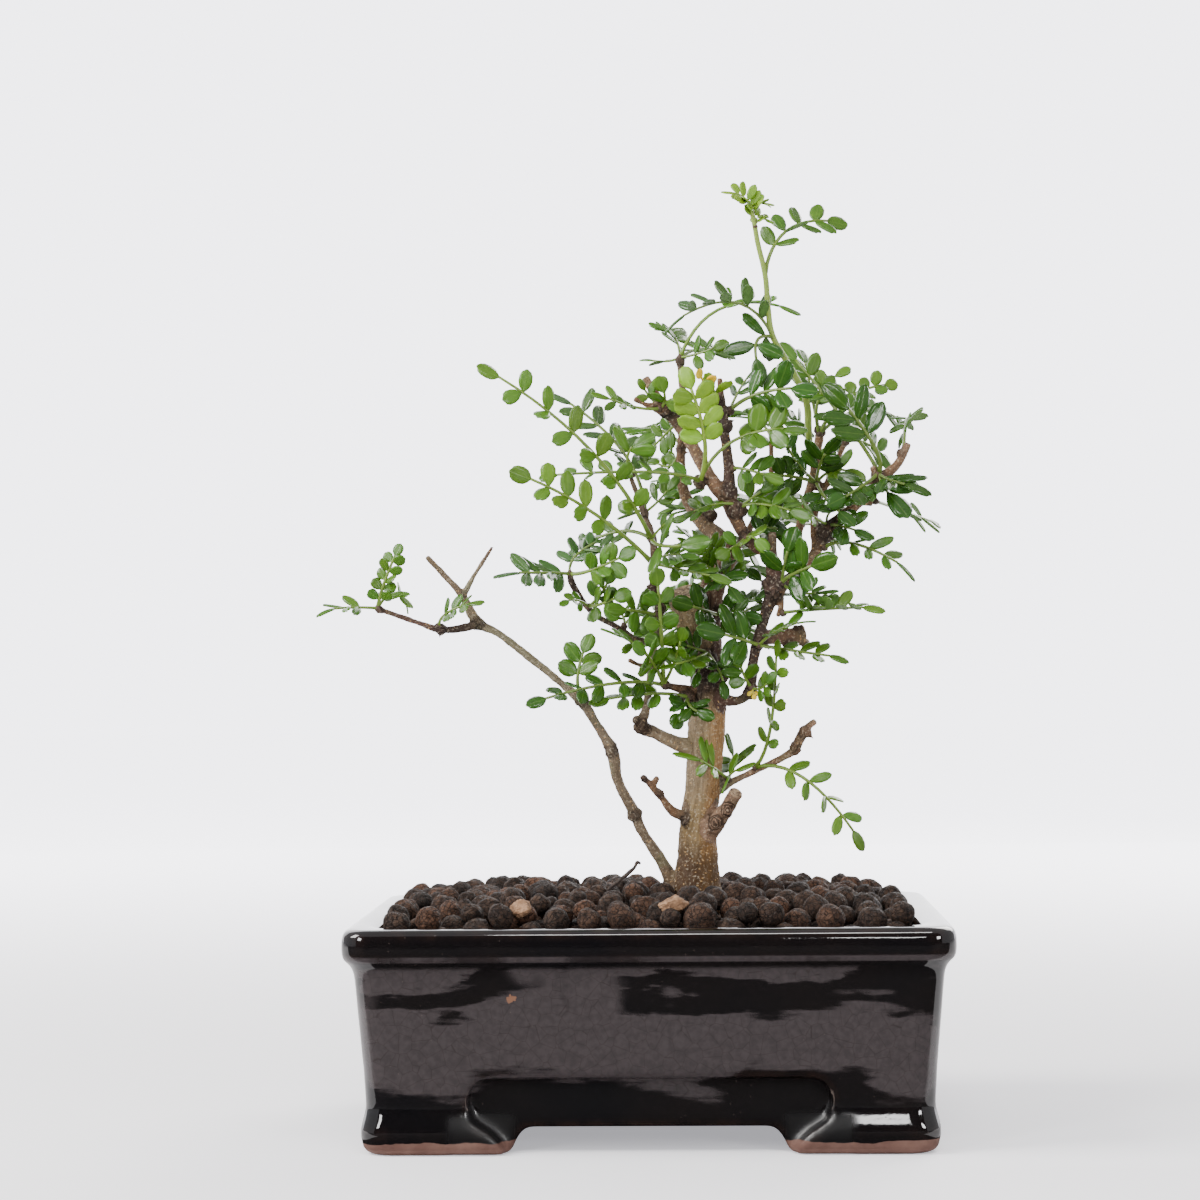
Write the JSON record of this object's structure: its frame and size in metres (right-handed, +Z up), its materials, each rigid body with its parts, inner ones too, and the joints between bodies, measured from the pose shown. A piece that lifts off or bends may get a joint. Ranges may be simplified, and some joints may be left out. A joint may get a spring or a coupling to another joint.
{
  "type": "japanese pepper bonsai",
  "caption": "Japanese pepper bonsai with a short trunk, crooked twigs and small feathery leaves, growing from clay pellets in a low rectangular glazed pot on corner feet.",
  "frame": {"origin": "on the ground, under the middle of the pot", "axes": "+Z up, +X to the right and +Y to the back as seen from the front; the pot's long front side faces -Y"},
  "size_m": [0.2167, 0.15, 0.3251],
  "materials": {
    "glaze": "gloss",
    "mesh": "matte",
    "soil": "matte",
    "clay_pellet": "matte",
    "dry_twig": "matte",
    "stone": "matte",
    "bark": "matte",
    "young_leaf": "satin",
    "leaf": "satin"
  },
  "bodies": {
    "root": {"pot": "glaze", "drain_mesh_left": "mesh", "drain_mesh_right": "mesh", "soil": "soil", "clay_pellets": "clay_pellet", "dry_twig": "dry_twig", "stone_ochre": "stone", "stone_tan": "stone", "wood": "bark", "lead_shoot": "young_leaf", "spray_back_twig_tip": "leaf", "spray_crown_back_low": "leaf", "spray_crown_back_middle": "leaf", "spray_crown_back_tip": "leaf", "spray_crown_left_fork": "leaf", "spray_crown_left_knot": "leaf", "spray_crown_left_low": "leaf", "spray_crown_middle_low": "leaf", "spray_crown_middle_nub": "leaf", "spray_crown_middle_tip": "leaf", "spray_dark_twig_elbow": "leaf", "spray_dark_twig_low": "leaf", "spray_dark_twig_tip": "leaf", "spray_fork_stem": "leaf", "spray_fork_stem_top": "leaf", "spray_front_knot": "leaf", "spray_front_spur": "leaf", "spray_front_stem_foot": "leaf", "spray_front_stem_right": "leaf", "spray_inner_low": "leaf", "spray_inner_tip": "leaf", "spray_inner_top": "leaf", "spray_inner_twig_tip": "leaf", "spray_left_low": "leaf", "spray_left_lower": "leaf", "spray_left_middle": "leaf", "spray_left_spur_tip": "leaf", "spray_left_top": "leaf", "spray_left_twig_knot": "leaf", "spray_left_twig_tip": "leaf", "spray_left_upper": "leaf", "spray_right_branch_crook": "leaf", "spray_right_branch_foot": "leaf", "spray_right_branch_knot": "leaf", "spray_right_branch_nub": "leaf", "spray_right_branch_tip": "leaf", "spray_right_twig_foot": "leaf", "spray_right_twig_fork": "leaf", "spray_slender_elbow": "leaf", "spray_trunk_left": "leaf", "spray_trunk_low_back": "leaf", "spray_trunk_low_front": "leaf", "spray_trunk_middle_front": "leaf", "spray_trunk_top_back": "leaf", "spray_trunk_top_front": "leaf"}
  },
  "joints": []
}
